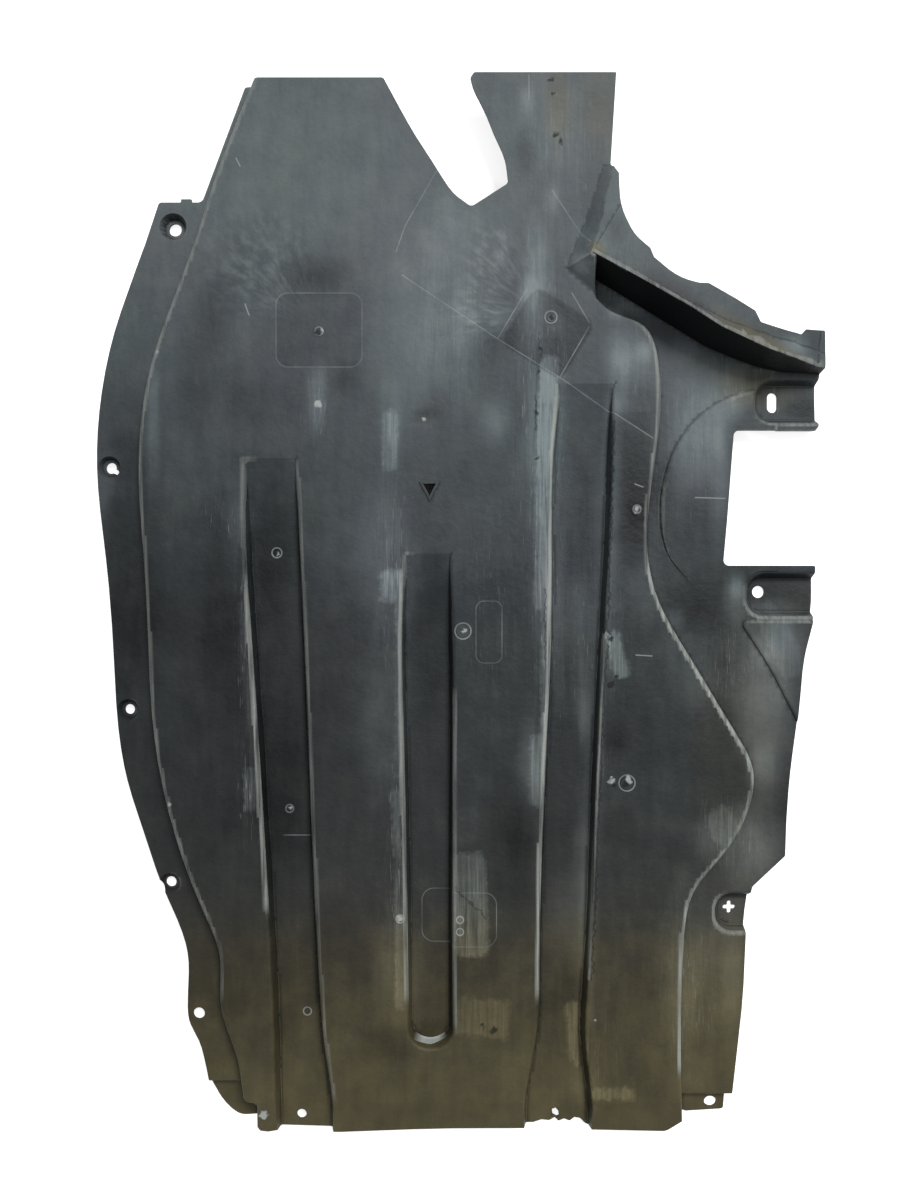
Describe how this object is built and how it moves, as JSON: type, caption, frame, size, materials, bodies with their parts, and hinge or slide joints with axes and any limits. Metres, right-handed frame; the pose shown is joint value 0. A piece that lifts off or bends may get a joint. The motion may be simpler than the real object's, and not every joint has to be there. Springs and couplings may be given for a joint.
{
  "type": "underbody cover",
  "caption": "Moulded plastic underbody cover with a raised field, long channels, an air deflector and fastener pockets, worn and torn at its edges.",
  "frame": {"origin": "centre of the bounding box in plan, at the level of the fastener seats on which the panel lies", "axes": "+Y towards the front edge with its two tongues, +Z towards the road side (the side with the channels and the deflector), +X towards the side with the window"},
  "size_m": [0.7749, 1.117, 0.062],
  "materials": {
    "moulded_polypropylene": "dusty, scratched matte moulding"
  },
  "bodies": {
    "root": {"underbody_cover": "moulded_polypropylene"}
  },
  "joints": []
}
